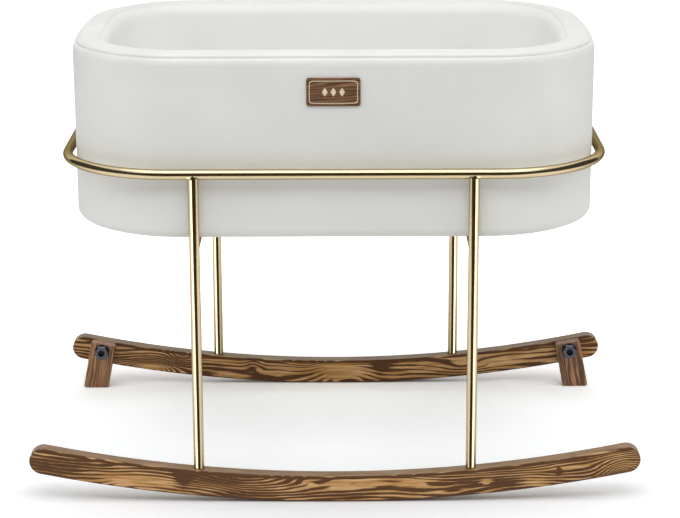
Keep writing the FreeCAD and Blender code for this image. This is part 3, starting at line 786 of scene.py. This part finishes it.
rear_patches = ((-0.335, 0.018, 0.022, 0.008, 0.8), (-0.200, 0.036, 0.060, 0.010, 0.4),
                (-0.080, 0.026, 0.060, 0.016, 0.3), (0.012, 0.022, 0.030, 0.020, 0.9),
                (0.084, 0.032, 0.013, 0.009, -1.6), (0.160, 0.026, 0.050, 0.010, 0.6),
                (0.300, 0.026, 0.040, 0.008, 0.5))

# A stop block stands square to the rocker's curve at its pivot
pivot_from_middle = 424 * MM
pivot_curve_radius = 2251 * MM
block_lean = math.asin(pivot_from_middle / pivot_curve_radius)

node_finish = {
    "front_rocker": stained_softwood(
        "stained_softwood_front", (0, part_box("front_rocker")[0].y, 0), ring_width=5.0 * MM, pale=0.30,
        seed=3.1, stain=rocker_stain, swirls=front_swirls, patches=front_patches,
        sheen_tint=(0.90, 1.02, 1.28, 1), **rocker_shape),
    "rear_rocker": stained_softwood(
        "stained_softwood_rear", (0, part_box("rear_rocker")[0].y, 0), ring_width=7.0 * MM, pale=0.40,
        seed=8.7, stain=rocker_stain, swirls=rear_swirls, patches=rear_patches,
        sheen_tint=(0.75, 1.00, 1.52, 1), **rocker_shape),
    "left_stop_block": stained_softwood(
        "stained_softwood_left", middle_of("left_stop_block"), ring_width=3.4 * MM, pale=0.60,
        seed=5.3, stain=block_stain, turn=math.pi / 2 + block_lean),
    "right_stop_block": stained_softwood(
        "stained_softwood_right", middle_of("right_stop_block"), ring_width=3.8 * MM, pale=0.46,
        seed=2.2, stain=block_stain, turn=math.pi / 2 - block_lean),
    "name_plaque": stained_softwood(
        "stained_plaque", plaque_middle, ring_width=2.6 * MM, pale=0.45, seed=6.4, stain=plaque_stain),
}
for finish, nodes in ((brass, ("support_hoop", "front_left_leg", "front_right_leg", "rear_left_leg",
                               "rear_right_leg", "left_crossbar", "right_crossbar")),
                      (zinc, ("leg_plugs", "leg_bolts", "leg_washers", "floor_screws")),
                      (black, ("pivot_studs", "pivot_spacers", "pivot_washers")),
                      (gunmetal, ("pivot_nuts",)),
                      (plywood, ("wall_panel", "floor_board"))):
    for node in nodes:
        node_finish[node] = finish
for node, finish in node_finish.items():
    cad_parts[node].material_slots[0].material = finish

near_white = white_leatherette("white_leatherette", ("#E4E4E0", "#EAEAE7"))
lining_cloth = woven_cloth("cotton_lining", ("#EDEDEA", "#F7F7F5"), 1.6 * MM, 0.2)
under_cloth = woven_cloth("underside_cloth", ("#CFCFC9", "#E2E2DC"), 2.2 * MM, 0.1)
jersey = knitted_cotton()
cream = cream_inlay()


def dress(piece, finish, body, slot, *nodes):
    """Give a piece its finish, the body it moves with and the nodes it stands for; the material slot argument
    is not used.
    """
    piece.data.materials.clear()
    piece.data.materials.append(finish)
    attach(piece, body)
    if nodes:
        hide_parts(*nodes)
    return piece


wall_pad = dress(make_wall_pad(), near_white, "basket", "white_leatherette", "outer_cover", "outer_foam")
rim_rear = dress(make_rim("rim_rear", 0.0, 0.5, rear_rim_roll), near_white, "basket", "white_leatherette",
                 "rim_cover_rear")
rim_front = dress(make_rim("rim_front", 0.5, 1.0, 0.0), near_white, "basket", "white_leatherette",
                  "rim_cover_front")
inner_pad = dress(make_inner_pad(), lining_cloth, "basket", "lining_cloth", "inner_foam", "lining")

plan = basket_path(around_count)
under_low, under_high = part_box("underside_cover")
for name, depth, bottom, top, finish, node in (
        ("lining_floor", wall_thickness - floor_tuck, board_top + skin_gap, board_top + lining_thickness,
         lining_cloth, "lining"),
        ("underside_sheet", panel_outer + skin_gap, under_low.z, under_high.z - skin_gap,
         under_cloth, "underside_cover")):
    plate = grid_piece(name, flat_plate(plan, depth, bottom, top), section_closed=False, cap_poles=True)
    dress(plate, finish, "basket", "lining_cloth", node)
    width, length = 2 * (half_depth - depth), 2 * (half_length - depth)

mattress_pad, mattress_beads = make_mattress()
dress(mattress_pad, jersey, "mattress", "mattress_cloth", "mattress")
smooth = mattress_pad.modifiers.new("smooth", "SUBSURF")
smooth.levels = smooth.render_levels = 1
for bead in mattress_beads:
    dress(bead, jersey, "mattress", "mattress_cloth")

dress(make_inlay_border(), cream, "basket", "plaque_wood")
for number, place in enumerate(lozenge_places):
    dress(make_lozenge(number, place), cream, "basket", "plaque_wood")


# Floor, reflection cards and lamps

def make_quad(name, centre, half_u, half_v):
    """A flat four-cornered surface from its centre and its two half-sides."""
    centre, half_u, half_v = (np.array(part, float) for part in (centre, half_u, half_v))
    corners = np.array([centre - half_u - half_v, centre + half_u - half_v,
                        centre + half_u + half_v, centre - half_u + half_v])
    mesh = bpy.data.meshes.new(name)
    mesh.from_pydata(corners.tolist(), [], [(0, 1, 2, 3)])
    quad = bpy.data.objects.new(name, mesh)
    scene.collection.objects.link(quad)
    return quad


def seen_rays(tree):
    """Socket that is 1 for the rays that see a background: camera, glossy and transmission rays."""
    rays = add(tree, "ShaderNodeLightPath")
    seen = rays["Is Camera Ray"]
    for kind in ("Is Glossy Ray", "Is Transmission Ray"):
        seen = add(tree, "ShaderNodeMath", {0: seen, 1: rays[kind]}, operation="MAXIMUM")
    return seen


# Paper tone for the eye: times the light that falls on it, it paints a pale grey shade round the rockers and
# is white far away. Near the rockers it is painted a little cool, to offset the warm light that the wood
# throws on it
paper_white = 0.92
paper_in_metal = 1.1
painted_shade_centre = (0, -0.31, 0)
paper_stretch = (0.5, 1.0, 1.0)
paper_near, paper_far = 0.04, 1.95
painted_shade_tone = (0.94, 0.96, 0.985, 1)
tone_far = (2.95, 2.95, 2.95, 1)
floor_drop = 0.3 * MM
floor_half = 30


def pale_floor():
    """Studio floor: matt white paper that keeps the shadows, painted grey round the rockers and plain white
    away from the cradle.
    """
    material, tree, shader = new_finish("studio_paper")
    tree.nodes.remove(shader)
    place = add(tree, "ShaderNodeTexCoord")["Object"]
    place = add(tree, "ShaderNodeVectorMath", {0: place, 1: painted_shade_centre}, operation="SUBTRACT")
    place = add(tree, "ShaderNodeVectorMath", {0: place, 1: paper_stretch}, operation="MULTIPLY")
    away = add(tree, "ShaderNodeVectorMath", {0: place}, operation="LENGTH")
    share = add(tree, "ShaderNodeMapRange", {"Value": away, "From Min": paper_near, "From Max": paper_far})
    tone = add(tree, "ShaderNodeMix", {0: share, 6: painted_shade_tone, 7: tone_far}, data_type="RGBA")
    plain = add(tree, "ShaderNodeMix", {0: seen_rays(tree), 2: paper_white, 3: paper_in_metal},
                data_type="FLOAT")
    direct = add(tree, "ShaderNodeLightPath")["Is Camera Ray"]
    tone = add(tree, "ShaderNodeMix", {0: direct, 6: plain, 7: tone}, data_type="RGBA")
    paper = add(tree, "ShaderNodeBsdfDiffuse", {"Color": tone})
    tree.links.new(paper, tree.nodes["Material Output"].inputs["Surface"])
    return material


floor = make_quad("studio_floor", (0, 0, -floor_drop), (floor_half, 0, 0), (0, floor_half, 0))
floor.data.materials.append(pale_floor())


def reflection_card(name, centre, half_u, half_v, light, shade="#FFFFFF"):
    """A glowing board that only polished surfaces see, a painted reflection: dark for the room behind the
    lamps, bright for a highlight.
    """
    card = make_quad(name, centre, half_u, half_v)
    card.visible_camera = card.visible_diffuse = card.visible_shadow = card.visible_volume_scatter = False
    finish = new_finish(name, Base_Color=(0, 0, 0, 1), Roughness=1.0, Specular_IOR_Level=0.0,
                        Emission_Color=colour(shade), Emission_Strength=light)[0]
    card.data.materials.append(finish)


# The tubes in the photograph show a dark room in front and at the sides, under the overhead light
dark_reflection_tint = "#FFDDAA"
dark_light = 0.05
side_light = 0.06
overhead_light = 2.3
overhead_place = (0, -1.2, 2.9)
reflection_card("front_dark_card", (0, -4.7, 2.4), (3.2, 0, 0), (0, 0, 2.4), dark_light, dark_reflection_tint)
reflection_card("front_floor_dark_card", (0, -3.0, 0.002), (3.2, 0, 0), (0, 1.7, 0), dark_light, dark_reflection_tint)
reflection_card("overhead_bright_card", overhead_place, (1.6, 0, 0), (0, 1.5, 0), overhead_light)

# Each leg gets a painted reflection: a white line on its outer front and a dark one beside it. The cards
# stand
# upright, close to the tube: places are measured outwards and to the rear from its middle
leg_middle = middle_of("rear_right_leg")
leg_card_height = 284.5 * MM
leg_card_half = (0, 0, 234.5 * MM)
leg_dark_place = (-2.1 * MM, -12.0 * MM)
leg_dark_half = 4.5 * MM
leg_dark_light = 0.045
leg_bright_place = (6.9 * MM, -10.6 * MM)
leg_bright_half = (2.9 * MM, 1.4 * MM)
leg_bright_light = 2.8
for side in (-1, 1):
    reflection_card("side_dark_card_%d" % side, (side * 3.2, -1.2, 1.7), (0, 3.5, 0), (0, 0, 1.7), side_light)
    for row in (-1, 1):
        leg_x, leg_y = side * leg_middle.x, row * leg_middle.y
        reflection_card("leg_dark_card_%d_%d" % (side, row),
                        (leg_x + side * leg_dark_place[0], leg_y + leg_dark_place[1], leg_card_height),
                        (leg_dark_half, 0, 0), leg_card_half, leg_dark_light, dark_reflection_tint)
        reflection_card("leg_bright_card_%d_%d" % (side, row),
                        (leg_x + side * leg_bright_place[0], leg_y + leg_bright_place[1], leg_card_height),
                        (side * leg_bright_half[0], leg_bright_half[1], 0), leg_card_half, leg_bright_light)

# Lamps: place, width, height and watts. The overhead one looks straight down, the others at the target
lamp_target = Vector((0, 0, 0.45))
for name, place, width, height, energy in (
        ("overhead_softbox", overhead_place, 3.2, 3.0, 25),
        ("front_softbox", (0, -2.2, 3.05), 3.0, 1.2, 30),
        ("left_softbox", (-2.6, -0.6, 1.7), 1.2, 1.8, 18),
        ("right_softbox", (2.6, -0.6, 1.7), 1.2, 1.8, 19),
        ("rear_softbox", (0, 2.6, 2.0), 3.0, 1.4, 13)):
    light = bpy.data.lights.new(name, "AREA")
    light.shape = "RECTANGLE"
    light.size = width
    light.size_y = height
    light.energy = energy
    lamp = bpy.data.objects.new(name, light)
    lamp.location = place
    if name != "overhead_softbox":
        lamp.rotation_euler = (lamp_target - Vector(place)).to_track_quat("-Z", "Y").to_euler()
    lamp.visible_camera = lamp.visible_glossy = False
    scene.collection.objects.link(lamp)

# World: plain white, dimmer as a light than as what is seen
sky_light = 0.35
sky_seen = 1.0
world = bpy.data.worlds.new("studio")
scene.world = world
world.use_nodes = True
sky = world.node_tree
strength = add(sky, "ShaderNodeMapRange", {"Value": seen_rays(sky), "To Min": sky_light, "To Max": sky_seen})
sky.links.new(strength, sky.nodes["Background"].inputs["Strength"])
sky.nodes["Background"].inputs["Color"].default_value = (1, 1, 1, 1)

# Camera: placed by a fit of the model's edges to the photograph
focal_pixels = 2188.64
image_width = 680
camera_place = (0.01126, -3.53163, 1.28665)
camera_pitch = 15.42
camera_yaw = -0.038
camera_roll = 0.193
lens = bpy.data.cameras.new("camera")
lens.sensor_fit = "HORIZONTAL"
lens.sensor_width = 36
lens.lens = focal_pixels / image_width * lens.sensor_width
camera = bpy.data.objects.new("camera", lens)
camera.matrix_world = (Matrix.Translation(camera_place)
                       @ Matrix.Rotation(math.radians(-camera_yaw), 4, "Z")
                       @ Matrix.Rotation(math.radians(90 - camera_pitch), 4, "X")
                       @ Matrix.Rotation(math.radians(-camera_roll), 4, "Z"))
scene.collection.objects.link(camera)
scene.camera = camera

scene.view_settings.view_transform = "Standard"
